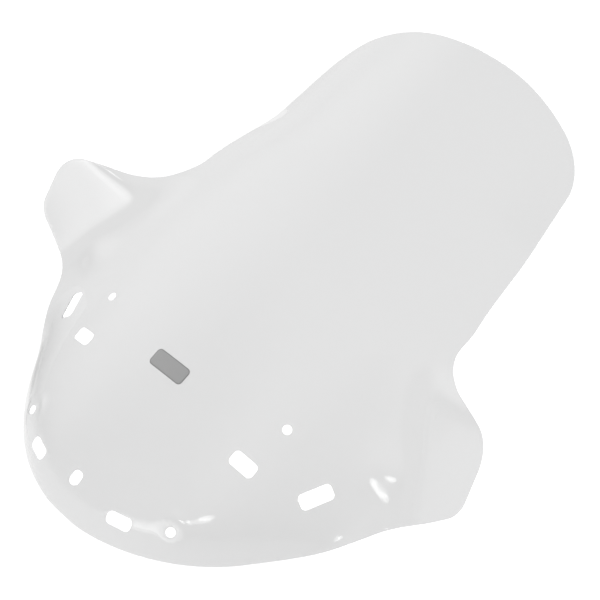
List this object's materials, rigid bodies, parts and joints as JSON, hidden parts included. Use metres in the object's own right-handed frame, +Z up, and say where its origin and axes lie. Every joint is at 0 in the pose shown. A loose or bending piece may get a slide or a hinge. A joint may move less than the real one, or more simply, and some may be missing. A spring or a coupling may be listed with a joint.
{
  "type": "motorcycle windshield screen",
  "caption": "Tall clear motorcycle windshield screen: one curved thermoformed sheet with hand deflector wings, fixing holes and slots, and a blank badge.",
  "frame": {"origin": "on the symmetry plane under the middle of the bounding box, at the height of the bottom edge of the sheet", "axes": "front of the screen faces -Y, +Z up, +X to the rider's left; the screen is shown as mounted, its chord leaning back 40 degrees towards +Y"},
  "size_m": [0.6438, 0.478, 0.5445],
  "materials": {
    "clear_sheet": "gloss, clear transparent sheet with polished edges",
    "badge_foil": "satin grey printed foil"
  },
  "bodies": {
    "root": {"windshield_screen": "clear_sheet", "blank_badge": "badge_foil"}
  },
  "joints": []
}
